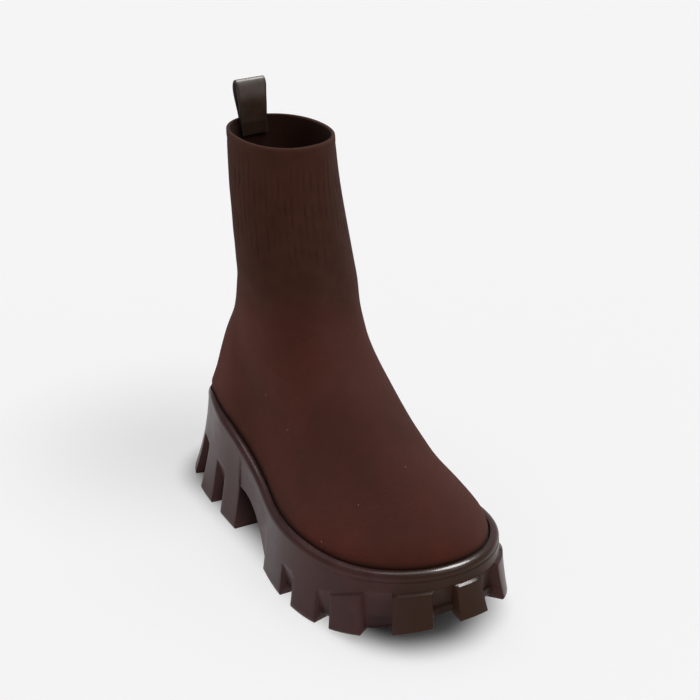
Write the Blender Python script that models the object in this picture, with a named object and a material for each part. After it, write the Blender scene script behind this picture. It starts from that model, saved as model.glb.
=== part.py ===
"""Chunky-soled sock boot, right foot, as four pieces: sole, upper, insole, pull_loop.

World axes: +Z up, toe towards -Y, lateral (little toe) side towards -X.
The design tables are in millimetres in the boot's own directions:
  f = forward from the heel, u = lateral (+) / medial (-), z = height above the ground.
"""
import bpy
import bmesh
import numpy as np
from mathutils import Vector

MM = 0.001

# ---------------------------------------------------------------- driving sizes (mm)
F_ORIGIN = 125.05         # f that lands on world y = 0
U_ORIGIN = 2.69           # u that lands on world x = 0
WALL = 2.0                # thickness of the knitted upper
FIT = 0.3                 # clearance between flat neighbouring pieces
CURVED_FIT = 0.4          # clearance between curved neighbouring pieces
MARGIN = 8.0              # how far the upper runs down inside the sole's rim
INSOLE_T = 4.0            # thickness of the footbed
SEAM_Z_HEEL = 58.5        # height of the upper/sole seam at the heel
SEAM_Z_FORE = 41.2        # height of the seam under the forefoot
SEAM_Z_TOE_RISE = 6.9     # further rise of the seam at the toe
SEAM_HEEL_DIP = 4.8       # dip of the seam round the back of the heel
TOE_SPRING = 18.0         # rise of the tread at f = 260
TOE_SPRING_START = 188.0  # tread is flat on the ground behind this
BREAST_F = 90.0           # front face of the heel
ARCH_TOP_Z = 27.5         # highest point of the arch tunnel
ARCH_END_F = 135.0        # where the arch comes down to the ground
WAIST_TUCK = 2.6          # waist wall stands this far behind the lug faces
GROOVE = 5.0              # height of the tread grooves between lugs
LUG_DEPTH = 13.0          # edge lugs run this far inside the seam line
STRAP_T = 1.4             # pull loop strap thickness
STRAP_W = 17.0            # pull loop strap width where it is sewn in
STRAP_FLARE = 1.8         # how much wider it spreads at the fold
FOLD_HIGH = 5.0           # height of the rounded fold
STRAP_U = -0.8            # pull loop centre line
STRAP_TOP_Z = 255.0       # top of the pull loop
STRAP_SEWN = 9.0          # how far its ends run down inside the collar

# seam line where upper meets sole, right foot (a row per station, heel to toe)
#          f_lateral u_lateral  f_medial u_medial
SEAM = [
    (-3.0,   0.0,   -3.0,   0.0),
    (0.5,   11.0,    1.0, -11.0),
    (9.0,   20.5,   10.0, -19.5),
    (25.0,  27.0,   25.0, -24.7),
    (55.0,  34.0,   58.0, -29.0),
    (90.0,  37.0,  101.0, -32.5),
    (120.0, 41.0,  125.0, -35.0),
    (143.0, 46.5,  146.0, -38.5),
    (165.0, 50.0,  176.0, -44.0),
    (195.0, 48.5,  200.0, -45.0),
    (219.0, 41.5,  221.0, -40.5),
    (238.5, 28.5,  239.5, -27.5),
    (248.5, 14.5,  248.5, -14.5),
    (251.5,  0.0,  251.5,   0.0),
]

# outward reach of the sole's bottom edge beyond the seam line, and the width of
# its rounded rim there (a row per place)
#         f    lateral  medial   rim
REACH = [
    (-3.0,  12.0, 11.0,  1.3),
    (25.0,  15.0, 12.0,  2.9),
    (60.0,  13.0, 11.5,  5.2),
    (90.0,  12.3,  9.5,  5.6),
    (125.0, 10.0,  9.0,  5.6),
    (165.0,  9.5,  9.0,  5.6),
    (200.0,  9.0,  9.0,  5.6),
    (225.0,  8.0,  8.5,  5.6),
    (240.0,  9.5, 10.0,  5.6),
    (251.5, 11.8, 11.8,  5.6),
]

# edge lugs of one side, heel to toe: measured on f ('f') or across on |u| ('u')
#        measured  lateral_start lateral_end  medial_start medial_end
LUGS = [
    ("heel centre", "u",  0.0,   9.0,   0.0,   9.0),
    ("heel corner", "f", -5.0,  16.0,  -5.0,  15.0),
    ("heel side",   "f", 34.0,  54.5,  33.0,  53.0),
    ("heel breast", "f", 69.0,  90.0,  68.0,  90.0),
    ("waist front", "f", 138.5, 166.0, 138.5, 166.0),
    ("ball",        "f", 179.0, 200.0, 178.0, 199.0),
    ("forefoot",    "f", 211.0, 229.5, 211.0, 236.0),
    ("toe corner",  "u", 35.0,  19.0,  44.0,  29.0),
    ("toe centre",  "u", 5.0,    0.0,  12.0,   0.0),
]

LUG_STEPS = (3, 6, 4, 4, 5, 4, 5, 4, 3)   # stations along each lug, heel to toe

# sections of the upper, from the seam up to the collar; each is a tilted loop:
#  front f/z and back f/z of the loop, its half widths at the ball and at the heel,
#  round: 0 = shaped like the seam, 1 = oval; follow: 1 = follows the seam's rise
UPPER = [
    # name           front_f front_z back_f back_z ball_lat ball_med heel_lat heel_med round follow
    ("feather line",  251.5,  48.1,  -3.0,  58.5,  50.2, 45.1, 34.0, 29.0, 0.00, 1.00),
    ("low wall",      250.0,  57.0,   0.8,  66.0,  46.4, 42.8, 32.8, 29.0, 0.10, 1.00),
    ("toe box",       243.0,  65.0,   3.4,  76.0,  41.2, 40.6, 31.2, 29.2, 0.32, 0.90),
    ("toe top",       226.4,  74.0,   6.9,  87.0,  34.8, 36.8, 29.3, 30.8, 0.58, 0.80),
    ("vamp",          200.7,  83.0,  12.4,  98.0,  30.6, 36.1, 27.5, 33.0, 0.78, 0.60),
    ("low instep",    169.8,  97.0,  22.5, 112.0,  28.1, 36.5, 26.0, 35.4, 0.93, 0.40),
    ("instep",        138.0, 117.0,  33.4, 127.0,  25.8, 36.0, 25.9, 37.0, 1.00, 0.20),
    ("ankle",         121.1, 143.0,  43.9, 148.0,  27.2, 36.9, 27.4, 36.7, 1.00, 0.00),
    ("above ankle",   113.7, 172.0,  47.6, 173.0,  28.8, 34.4, 28.8, 34.4, 1.00, 0.00),
    ("shaft",         109.7, 203.0,  43.8, 203.0,  27.6, 31.4, 27.6, 31.4, 1.00, 0.00),
    ("collar",        110.0, 232.5,  36.5, 232.5,  24.5, 29.0, 24.5, 29.0, 1.00, 0.00),
]
OVAL = 2.2                # squareness of the collar's oval (2 = ellipse)
UPPER_AROUND = 60         # stations around the upper
UPPER_RINGS = 22          # loops from the seam to the collar


# ---------------------------------------------------------------- small helpers
def world(f, u, z):
    """Boot directions in millimetres to world metres (right boot)."""
    return Vector((-(u - U_ORIGIN) * MM, (F_ORIGIN - f) * MM, z * MM))


def smooth(t):
    t = np.clip(t, 0.0, 1.0)
    return t * t * (3 - 2 * t)


def natural_spline(x, y, xs, closed=False):
    """Cubic spline through rows y at x; natural ends, or periodic when closed."""
    x = np.asarray(x, float)
    y = np.asarray(y, float)
    n = len(x)
    h = np.diff(x)
    A = np.zeros((n, n))
    B = np.zeros(y.shape)
    for i in range(1, n - 1):
        A[i, i - 1], A[i, i], A[i, i + 1] = h[i - 1], 2 * (h[i - 1] + h[i]), h[i]
        B[i] = 6 * ((y[i + 1] - y[i]) / h[i] - (y[i] - y[i - 1]) / h[i - 1])
    if closed:
        A[0, 0], A[0, -1] = 1, -1
        A[-1, 0], A[-1, 1] = 2 * (h[0] + h[-1]), h[0]
        A[-1, -2] = h[-1]
        B[-1] = 6 * ((y[1] - y[0]) / h[0] - (y[-1] - y[-2]) / h[-1])
    else:
        A[0, 0] = A[-1, -1] = 1
    M = np.linalg.solve(A, B)
    k = np.clip(np.searchsorted(x, xs, side="right") - 1, 0, n - 2)
    a = (x[k + 1] - xs) / h[k]
    b = (xs - x[k]) / h[k]
    hk = h[k]
    if y.ndim > 1:
        a, b, hk = a[:, None], b[:, None], hk[:, None]
    return (a * y[k] + b * y[k + 1]
            + ((a ** 3 - a) * M[k] + (b ** 3 - b) * M[k + 1]) * hk ** 2 / 6)


def seam_slope(f):
    """Height that the upper's rows are set to: high heel, flat forefoot, lifted toe."""
    z = SEAM_Z_HEEL + (SEAM_Z_FORE - SEAM_Z_HEEL) * smooth((f - 55.0) / 95.0)
    return z + SEAM_Z_TOE_RISE * np.clip((f - 190.0) / 61.5, 0, 1.2) ** 2


def seam_height(f):
    """Height of the seam, which also dips round the back of the heel."""
    return seam_slope(f) - SEAM_HEEL_DIP * smooth((30.0 - f) / 26.0)


def tread_height(f):
    """Height of the lug bottoms: flat, then toe spring."""
    return TOE_SPRING * np.clip((f - TOE_SPRING_START) / (260.0 - TOE_SPRING_START), 0, 1.3) ** 2


def arch_height(f):
    """Ceiling of the tunnel under the waist, from the breast to ARCH_END_F."""
    t = np.clip((f - (BREAST_F + 5.0)) / (ARCH_END_F - BREAST_F - 5.0), 0, 1)
    return ARCH_TOP_Z * (1 - t ** 2.0)


# closed seam curve: s = 0 heel, 0..0.5 medial side, 0.5 toe, 0.5..1 lateral side
def _seam_nodes():
    med = [(r[2], r[3]) for r in SEAM]
    lat = [(r[0], r[1]) for r in SEAM]
    pts = np.array(med + lat[-2:0:-1] + [med[0]], float)
    d = np.r_[0, np.cumsum(np.linalg.norm(np.diff(pts, axis=0), axis=1))]
    return pts, d, d[len(med) - 1]


_PTS, _LEN, _TOE = _seam_nodes()


def seam_point(s):
    """(f, u) of the seam at s, and its outward normal."""
    s = np.atleast_1d(np.asarray(s, float)) % 1.0

    def at(q):
        q = q % 1.0
        d = np.where(q < 0.5, _TOE * q * 2, _TOE + (_LEN[-1] - _TOE) * (q - 0.5) * 2)
        return natural_spline(_LEN, _PTS, d, closed=True)
    p = at(s)
    t = at(s + 1e-4) - at(s - 1e-4)
    n = np.stack([-t[:, 1], t[:, 0]], 1)
    n /= np.linalg.norm(n, axis=1)[:, None]
    centre = np.array([125.0, 0.0])
    flip = ((p - centre) * n).sum(1)
    if flip.mean() < 0:
        n = -n
    return p, n


def reach(s, f):
    """Distance of the lugs' bottom edge outside the seam line."""
    tab = np.array(REACH)
    lat, med, _ = natural_spline(tab[:, 0], tab[:, 1:], np.clip(f, -3, 251.5)).T
    return np.where(s > 0.5, lat, med)


def rim_width(f):
    tab = np.array(REACH)
    return np.interp(f, tab[:, 0], tab[:, 3])


# ---------------------------------------------------------------- upper
def upper_surface(around, rings, below=True):
    """Grid of (f, u, z) rings of the upper's outside, from the bottom edge to the collar."""
    s = np.arange(around) / around
    p, n = seam_point(s)
    fmin, fmax = -3.0, 251.5
    along = np.clip((p[:, 0] - fmin) / (fmax - fmin), 0, 1)
    first = UPPER[0]

    def half_widths(a, ball_lat, ball_med, heel_lat, heel_med):
        g = smooth((a - 0.22) / 0.45)
        return heel_lat + (ball_lat - heel_lat) * g, heel_med + (ball_med - heel_med) * g
    lat0, med0 = half_widths(along, *first[5:9])
    across = np.where(p[:, 1] > 0, p[:, 1] / lat0, p[:, 1] / med0)
    th = 2 * np.pi * s
    c, q = np.cos(th), -np.sin(th)
    oval_along = 0.5 - 0.5 * np.sign(c) * np.abs(c) ** (2 / OVAL)
    oval_across = np.sign(q) * np.abs(q) ** (2 / OVAL)
    z0, z1 = seam_slope(fmin), seam_slope(fmax)
    dip = seam_slope(p[:, 0]) - (z0 + (z1 - z0) * along)
    rows = np.array([r[1:] for r in UPPER], float)
    d = np.r_[0, np.cumsum(np.sqrt(0.5 * np.diff(rows[:, 0]) ** 2
                                   + np.diff(rows[:, 1]) ** 2 + np.diff(rows[:, 3]) ** 2))]
    t = d[-1] * (np.arange(rings) / (rings - 1.0))
    tab = natural_spline(d, rows, t)
    out = []
    for ff, zf, fb, zb, bl, bm, hl, hm, m, w in tab:
        m, w = min(max(m, 0), 1), min(max(w, 0), 1)
        a = (1 - m) * along + m * oval_along
        b = (1 - m) * across + m * oval_across
        la, me = half_widths(a, bl, bm, hl, hm)
        out.append(np.stack([fb + (ff - fb) * a,
                             np.where(b > 0, b * la, b * me),
                             zb + (zf - zb) * a + w * dip], 1))
    if below:
        z = seam_height(p[:, 0])
        low = [np.stack([p[:, 0], p[:, 1], z - MARGIN], 1),
               np.stack([p[:, 0], p[:, 1], z - 0.5 * MARGIN], 1)]
        out = low + out
    return np.array(out)


def collar_inside(u, z, depth):
    """f of a sheet that lies `depth` inside the back of the shaft near the collar."""
    rows = np.array([r[1:] for r in UPPER[-3:]], float)
    ff, fb, la, me = [np.interp(z, rows[:, 3], rows[:, k]) for k in (0, 2, 4, 5)]
    half = (ff - fb) / 2 - depth
    side = (la if u > 0 else me) - depth
    k = (1 - min(abs(u) / side, 0.999) ** OVAL) ** (1 / OVAL)
    return fb + depth + half * (1 - k)


# ---------------------------------------------------------------- mesh builders
def new_object(name, bm, material):
    bmesh.ops.recalc_face_normals(bm, faces=bm.faces)
    me = bpy.data.meshes.new(name)
    bm.to_mesh(me)
    bm.free()
    ob = bpy.data.objects.new(name, me)
    bpy.context.scene.collection.objects.link(ob)
    me.materials.append(material)
    me.shade_smooth()
    me.set_sharp_from_angle(angle=0.6)
    return ob


def material(name, colour, roughness, metallic=0.0):
    m = bpy.data.materials.new(name)
    m.use_nodes = True
    b = m.node_tree.nodes["Principled BSDF"]
    b.inputs["Base Color"].default_value = (*colour, 1)
    b.inputs["Roughness"].default_value = roughness
    b.inputs["Metallic"].default_value = metallic
    return m


def grid_faces(bm, rows, wrap=True):
    n = len(rows[0])
    for a, b in zip(rows[:-1], rows[1:]):
        for j in range(n if wrap else n - 1):
            k = (j + 1) % n
            bm.faces.new((a[j], a[k], b[k], b[j]))


def build_upper(mat):
    g = upper_surface(UPPER_AROUND, UPPER_RINGS)
    bm = bmesh.new()
    rows = [[bm.verts.new(world(*p)) for p in ring] for ring in g]
    grid_faces(bm, rows)
    bmesh.ops.recalc_face_normals(bm, faces=bm.faces)
    # an open sheet: make sure it faces away from the foot before it gets its wall
    f0 = bm.faces[len(bm.faces) // 2]
    bm.faces.ensure_lookup_table()
    mid = sum((v.co for v in bm.verts), Vector()) / len(bm.verts)
    score = sum((f.calc_center_median() - mid).dot(f.normal) for f in bm.faces)
    if score < 0:
        bmesh.ops.reverse_faces(bm, faces=bm.faces)
    me = bpy.data.meshes.new("upper")
    bm.to_mesh(me)
    bm.free()
    ob = bpy.data.objects.new("upper", me)
    bpy.context.scene.collection.objects.link(ob)
    me.materials.append(mat)
    me.shade_smooth()
    wall = ob.modifiers.new("wall", "SOLIDIFY")
    wall.thickness = WALL * MM
    wall.offset = -1.0
    wall.use_even_offset = True
    wall.use_rim = True
    return ob


def lug_stations():
    """Stations round the sole as (s, kind) with paired medial and lateral lists.

    kind: 1 = on a lug, 0 = in a notch, 2 = under the arch."""
    dense = np.linspace(0, 1, 4001)
    p, n = seam_point(dense)
    out = p + n * reach(dense, p[:, 0])[:, None]

    def find(side, measure, value):
        if side == "medial":
            k = dense <= 0.5
        else:
            k = dense >= 0.5
        f, u, s = out[k, 0], np.abs(out[k, 1]), dense[k]
        if measure == "f":
            order = np.argsort(f)
            return float(np.interp(value, f[order], s[order]))
        return s, f, u

    sides = {}
    for side in ("medial", "lateral"):
        edges = []
        for name, measure, la, lb, ma, mb in LUGS:
            a, b = (la, lb) if side == "lateral" else (ma, mb)
            ends = []
            for v in (a, b):
                if measure == "f":
                    ends.append(find(side, "f", v))
                else:
                    s, f, u = find(side, "u", v)
                    k = f < 60 if name.startswith("heel") else f > 225
                    s, u = s[k], u[k]
                    order = np.argsort(u)
                    ends.append(float(np.interp(v, u[order], s[order])))
            if side == "lateral" and name == "heel centre":
                ends[0] = 1.0
            if name == "heel centre" and side == "medial":
                ends[0] = 0.0
            if name == "toe centre":
                ends[1] = 0.5
            edges.append(ends)
        sign = 1 if side == "medial" else -1
        draft = 1.3 / 640.0        # lug sides slope by this much of s
        st = []
        for i, (a, b) in enumerate(edges):
            for t in np.linspace(0, 1, LUG_STEPS[i]):
                st.append((a + (b - a) * t, 1))
            if i == len(edges) - 1:
                break
            c = edges[i + 1][0]
            if i == 3:
                # the arch: straight breast, ceiling, then the waist wall
                fs = (BREAST_F + 0.3, 95.0, 101.0, 107.0, 113.0, 119.0, 125.0, 130.0, ARCH_END_F)
                for f in fs:
                    st.append((find(side, "f", f), 2))
            else:
                a2, b2 = b + sign * draft, c - sign * draft
                for t in np.linspace(0, 1, 3):
                    st.append((a2 + (b2 - a2) * t, 0))
        sides[side] = st
    return sides["medial"], sides["lateral"]


def build_sole(mat):
    med, lat = lug_stations()
    n = len(med)
    stations = med + lat[-2:0:-1]              # closed loop, heel -> medial -> toe -> lateral
    s = np.array([q[0] for q in stations])
    kind = np.array([q[1] for q in stations])
    p, nrm = seam_point(s)
    rch = reach(s, p[:, 0])
    rim = rim_width(p[:, 0])
    f_out = (p + nrm * rch[:, None])[:, 0]
    rch = rch - WAIST_TUCK * (kind == 2)
    zs = seam_height(p[:, 0])
    zt = zs - 4.0                              # top of the side wall, under the rim
    zg = tread_height(f_out)
    toe = smooth((p[:, 0] - 195.0) / 35.0)     # 0 on the sides, 1 round the toe
    notch_top = 0.50 - 0.26 * toe              # where notches begin, as part of the wall
    bottom = np.where(kind == 1, zg, np.where(kind == 0, zg + GROOVE - 2.0 * toe, zg))
    bottom = np.where(kind == 2, np.maximum(arch_height(f_out), 0.0), bottom)
    # flat against the ground exactly at the breast; the next station is the ceiling

    def flare(z):
        """Outward reach of the lug face at height z."""
        t = np.clip((zt - z) / (zt - zg), 0, 1)
        return rim + (rch - rim) * (0.35 * t + 0.65 * t * t)

    rows = []

    def add(off, z):
        off = np.broadcast_to(off, s.shape)
        z = np.broadcast_to(z, s.shape)
        rows.append([world(*(np.r_[p[i] + nrm[i] * off[i], z[i]])) for i in range(len(s))])

    floor = zs - MARGIN - CURVED_FIT
    add(CURVED_FIT, floor)                     # cup floor edge
    add(CURVED_FIT, zs - 0.9)                  # inside of the rim
    add(CURVED_FIT + 0.20 * (rim - CURVED_FIT), zs + 0.3)   # crest
    add(CURVED_FIT + 0.73 * (rim - CURVED_FIT), zs - 0.5)
    add(CURVED_FIT + 0.94 * (rim - CURVED_FIT), zs - 2.0)   # outer edge of the rim
    add(rim, zt)
    is_notch = kind == 0
    for frac in (0.0, 0.10, 0.50, 0.93):
        t = notch_top + (1 - notch_top) * frac
        z = zt + (bottom - zt) * t
        off = flare(z)
        if frac > 0:
            off = off + 1.4 * toe * (kind == 1)
            # between the lugs the wall runs on down and draws in towards the ground
            full = flare(bottom) - (rim - 1.2)
            off = np.where(is_notch, off - full * frac ** (1.0 - 0.35 * toe), off)
        add(off, z)
    base = flare(bottom) + 0.6 * toe * (kind == 1)
    base = np.where(is_notch, rim - 1.2, base)
    add(base - 1.0, bottom)                    # tread edge
    add(-LUG_DEPTH, bottom)                    # inner end of the edge lugs
    chan = np.where(kind == 2, bottom, zg + GROOVE - 2.0 * toe)
    add(-LUG_DEPTH - 1.2, chan)
    add(-LUG_DEPTH - 7.0, chan)
    ends = (p[:, 0] < 8.0) | (p[:, 0] > 232.0)
    inner = np.where((kind == 1) & ~ends, zg, chan)
    add(-LUG_DEPTH - 8.2, inner)               # central bars

    bm = bmesh.new()
    grid = [[bm.verts.new(c) for c in r] for r in rows]
    grid_faces(bm, grid)
    total = len(s)
    for row in (grid[0], grid[-1]):            # floor of the cup and the tread's middle
        bm.faces.new((row[0], row[1], row[total - 1]))
        for i in range(1, n - 2):
            bm.faces.new((row[i], row[i + 1], row[total - i - 1], row[total - i]))
        bm.faces.new((row[n - 2], row[n - 1], row[n]))
    return new_object("sole", bm, mat)


def build_insole(mat):
    s = np.arange(56) / 56.0
    p, nrm = seam_point(s)
    inset = -(WALL + 2 * FIT + 0.5)
    edge = p + nrm * inset
    z0 = seam_height(edge[:, 0]) - MARGIN + 0.1
    bm = bmesh.new()
    rows = []
    for dz, more in ((0.0, 0.0), (INSOLE_T - 1.0, 0.0), (INSOLE_T, -1.2)):
        e = edge + nrm * more
        rows.append([bm.verts.new(world(e[i, 0], e[i, 1], z0[i] + dz)) for i in range(56)])
    grid_faces(bm, rows)
    for row in (rows[0], rows[-1]):
        bm.faces.new((row[0], row[1], row[55]))
        for i in range(1, 27):
            bm.faces.new((row[i], row[i + 1], row[55 - i], row[56 - i]))
        bm.faces.new((row[27], row[28], row[29]))
    return new_object("insole", bm, mat)


def build_pull_loop(mat):
    """A folded strap: both ends lie one on the other inside the back of the collar."""
    z_low = UPPER[-1][4] - STRAP_SEWN
    z_rim = UPPER[-1][4]
    d_back = WALL + 2 * FIT + STRAP_T / 2      # leg against the wall
    d_front = d_back + STRAP_T + FIT           # leg towards the foot
    fold_r = 2.6                               # half the gap between the legs at the fold
    z_c = STRAP_TOP_Z - STRAP_T / 2 - FOLD_HIGH
    path = []                                  # (depth inside the wall, z, how flat 0..1)
    for z in np.linspace(z_low, z_rim, 4):
        path.append((d_front, z, 0.0))
    path.append((d_front - 0.1, z_rim + 7.0, 0.4))
    path.append((d_front - 0.2, z_c, 1.0))
    for a in np.linspace(30, 150, 5):
        a = np.radians(a)
        path.append((d_front - 0.2 - fold_r + fold_r * np.cos(a), z_c + FOLD_HIGH * np.sin(a), 1.0))
    path.append((d_front - 0.2 - 2 * fold_r, z_c, 1.0))
    path.append((d_back - 1.2, z_rim + 7.0, 0.4))
    for z in np.linspace(z_rim, z_low, 4):
        path.append((d_back, z, 0.0))
    bm = bmesh.new()
    rows = []
    for depth, z, flat in path:
        zz = min(z, z_rim)
        mid = collar_inside(STRAP_U, zz, depth)
        free = min(max((z - z_rim) / (STRAP_TOP_Z - z_rim - FOLD_HIGH), 0.0), 1.0)
        width = STRAP_W + STRAP_FLARE * free
        row = []
        for u in STRAP_U - 0.25 * STRAP_FLARE * free + width * np.linspace(-0.5, 0.5, 7):
            f = collar_inside(u, zz, depth)
            row.append(bm.verts.new(world(f + (mid + 0.6 - f) * flat, u, z)))
        rows.append(row)
    grid_faces(bm, rows, wrap=False)
    bmesh.ops.recalc_face_normals(bm, faces=bm.faces)
    me = bpy.data.meshes.new("pull_loop")
    bm.to_mesh(me)
    bm.free()
    ob = bpy.data.objects.new("pull_loop", me)
    bpy.context.scene.collection.objects.link(ob)
    me.materials.append(mat)
    me.shade_smooth()
    t = ob.modifiers.new("strap", "SOLIDIFY")
    t.thickness = STRAP_T * MM
    t.offset = 0.0
    t.use_even_offset = True
    t.use_rim = True
    return ob


# ---------------------------------------------------------------- model
def main():
    for ob in list(bpy.data.objects):
        bpy.data.objects.remove(ob, do_unlink=True)
    knit = material("knit", (0.045, 0.019, 0.015), 0.9)
    rubber = material("sole_rubber", (0.038, 0.024, 0.022), 0.38)
    lining = material("footbed_fabric", (0.040, 0.022, 0.018), 0.85)
    strap = material("strap_leather", (0.060, 0.045, 0.036), 0.5)
    build_sole(rubber)
    build_upper(knit)
    build_insole(lining)
    build_pull_loop(strap)


main()
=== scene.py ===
import math
import bpy
import bmesh
import numpy as np
from mathutils import Matrix, Vector
from mathutils.bvhtree import BVHTree

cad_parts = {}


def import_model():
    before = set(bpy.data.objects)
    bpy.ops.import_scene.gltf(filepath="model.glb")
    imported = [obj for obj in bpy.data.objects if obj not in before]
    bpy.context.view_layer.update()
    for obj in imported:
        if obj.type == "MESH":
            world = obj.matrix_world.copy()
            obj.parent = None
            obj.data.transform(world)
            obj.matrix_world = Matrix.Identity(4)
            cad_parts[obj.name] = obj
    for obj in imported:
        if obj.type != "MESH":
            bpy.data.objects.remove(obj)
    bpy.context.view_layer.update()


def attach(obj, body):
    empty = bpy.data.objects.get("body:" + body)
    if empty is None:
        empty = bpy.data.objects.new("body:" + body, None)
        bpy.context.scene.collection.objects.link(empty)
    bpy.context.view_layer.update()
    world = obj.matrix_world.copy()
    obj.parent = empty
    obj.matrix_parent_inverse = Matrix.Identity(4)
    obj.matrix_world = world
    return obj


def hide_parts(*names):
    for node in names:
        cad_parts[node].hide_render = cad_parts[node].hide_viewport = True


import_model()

# Sock boot, right foot. All design tables are in millimetres in the boot's own directions:
#   f = forward from the heel, u = lateral (+) / medial (-), z = height above the ground.
MM = 0.001

# ------------------------------------------------------------------ shared sizes (mm)
F_ORIGIN = 125.05
U_ORIGIN = 2.69
WALL = 2.0
FIT = 0.3
CURVED_FIT = 0.4
MARGIN = 8.0
INSOLE_T = 4.0
SEAM_Z_HEEL = 58.5
SEAM_Z_FORE = 41.2
SEAM_Z_TOE_RISE = 6.9
SEAM_HEEL_DIP = 4.8
TOE_SPRING = 18.0
TOE_SPRING_START = 188.0
BREAST_F = 90.0
ARCH_TOP_Z = 27.5
ARCH_END_F = 135.0
WAIST_TUCK = 2.6
GROOVE = 5.0
LUG_DEPTH = 13.0
STRAP_T = 1.4
STRAP_W = 17.0
STRAP_FLARE = 1.8
STRAP_U = -0.8
STRAP_TOP_Z = 255.0
STRAP_SEWN = 9.0
FOLD_HIGH = 5.0

#          f_lateral u_lateral  f_medial u_medial
SEAM = [
    (-3.0,   0.0,   -3.0,   0.0),
    (0.5,   11.0,    1.0, -11.0),
    (9.0,   20.5,   10.0, -19.5),
    (25.0,  27.0,   25.0, -24.7),
    (55.0,  34.0,   58.0, -29.0),
    (90.0,  37.0,  101.0, -32.5),
    (120.0, 41.0,  125.0, -35.0),
    (143.0, 46.5,  146.0, -38.5),
    (165.0, 50.0,  176.0, -44.0),
    (195.0, 48.5,  200.0, -45.0),
    (219.0, 41.5,  221.0, -40.5),
    (238.5, 28.5,  239.5, -27.5),
    (248.5, 14.5,  248.5, -14.5),
    (251.5,  0.0,  251.5,   0.0),
]

#         f    lateral  medial   rim
REACH = [
    (-3.0,  12.0, 11.0,  1.3),
    (25.0,  15.0, 12.0,  2.9),
    (60.0,  13.0, 11.5,  5.2),
    (90.0,  12.3,  9.5,  5.6),
    (125.0, 10.0,  9.0,  5.6),
    (165.0,  9.5,  9.0,  5.6),
    (200.0,  9.0,  9.0,  5.6),
    (225.0,  8.0,  8.5,  5.6),
    (240.0,  9.5, 10.0,  5.6),
    (251.5, 11.8, 11.8,  5.6),
]

#        measured  lateral_start lateral_end  medial_start medial_end
LUGS = [
    ("heel centre", "u",  0.0,   9.0,   0.0,   9.0),
    ("heel corner", "f", -5.0,  16.0,  -5.0,  15.0),
    ("heel side",   "f", 34.0,  54.5,  33.0,  53.0),
    ("heel breast", "f", 69.0,  90.0,  68.0,  90.0),
    ("waist front", "f", 138.5, 166.0, 138.5, 166.0),
    ("ball",        "f", 179.0, 200.0, 178.0, 199.0),
    ("forefoot",    "f", 211.0, 229.5, 211.0, 236.0),
    ("toe corner",  "u", 35.0,  19.0,  44.0,  29.0),
    ("toe centre",  "u", 5.0,    0.0,  12.0,   0.0),
]

#    name           front_f front_z back_f back_z ball_lat ball_med heel_lat heel_med round follow
UPPER = [
    ("feather line",  251.5,  48.1,  -3.0,  58.5,  50.2, 45.1, 34.0, 29.0, 0.00, 1.00),
    ("low wall",      250.0,  57.0,   0.8,  66.0,  46.4, 42.8, 32.8, 29.0, 0.10, 1.00),
    ("toe box",       243.0,  65.0,   3.4,  76.0,  41.2, 40.6, 31.2, 29.2, 0.32, 0.90),
    ("toe top",       226.4,  74.0,   6.9,  87.0,  34.8, 36.8, 29.3, 30.8, 0.58, 0.80),
    ("vamp",          200.7,  83.0,  12.4,  98.0,  30.6, 36.1, 27.5, 33.0, 0.78, 0.60),
    ("low instep",    169.8,  97.0,  22.5, 112.0,  28.1, 36.5, 26.0, 35.4, 0.93, 0.40),
    ("instep",        138.0, 117.0,  33.4, 127.0,  25.8, 36.0, 25.9, 37.0, 1.00, 0.20),
    ("ankle",         121.1, 143.0,  43.9, 148.0,  27.2, 36.9, 27.4, 36.7, 1.00, 0.00),
    ("above ankle",   113.7, 172.0,  47.6, 173.0,  28.8, 34.4, 28.8, 34.4, 1.00, 0.00),
    ("shaft",         109.7, 203.0,  43.8, 203.0,  27.6, 31.4, 27.6, 31.4, 1.00, 0.00),
    ("collar",        110.0, 232.5,  36.5, 232.5,  24.5, 29.0, 24.5, 29.0, 1.00, 0.00),
]
OVAL = 2.2

# ------------------------------------------------------------------ how fine the shown surfaces are
AROUND = 400              # columns round the knit
OUTER_RINGS = 136         # loops of the knit's outside, seam to collar
INNER_RINGS = 54          # loops of its inside
RIM_STEPS = 6             # steps over the collar's edge
DENSE_LUG_STEPS = (4, 12, 9, 9, 12, 9, 10, 9, 4)
NOTCH_STEPS = 6
ARCH_STEPS = 22

# ribs of the shaft
RIBS = 50                 # grooves round the collar
RIB_TOP_Z = 226.5         # they start this high, under the plain band
RIB_LOW_Z = 158.0         # and are gone by about this height
RIB_DEPTH = 0.32
RIB_WIDTH = 0.85          # half width of a groove

# soft creases of the knit: a trough along a line of points, with a swell on both sides
#     name                 depth width   f0     u0     z0      f1     u1     z1
CREASES = [
    ("instep bend",         0.40,  9.0, 122.0,  25.0, 138.0, 131.0, -30.0, 131.0),
    ("instep bend low",     0.25,  8.0, 139.0,  24.0, 112.0, 147.0, -28.0, 108.0),
    ("ankle outer",         0.28, 10.0,  55.0,  26.0, 150.0, 105.0,  26.0, 136.0),
    ("ankle inner",         0.45, 10.0,  55.0, -34.0, 147.0, 108.0, -32.0, 132.0),
    ("tendon",              0.35,  8.0,  44.0,  14.0, 158.0,  44.0, -14.0, 152.0),
    ("heel top",            0.22,  7.0,  36.0,  18.0, 131.0,  36.0, -18.0, 126.0),
    ("vamp flex",           0.20,  9.0, 178.0,  36.0,  70.0, 192.0,   2.0,  90.0),
    ("vamp flex inner",     0.22,  9.0, 186.0, -34.0,  68.0, 194.0,  -4.0,  89.0),
    ("shaft wave outer",    0.25, 12.0,  62.0,  28.0, 192.0,  96.0,  26.0, 184.0),
    ("shaft wave front",    0.22, 11.0, 108.0,  10.0, 172.0, 108.0, -16.0, 166.0),
]


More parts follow.
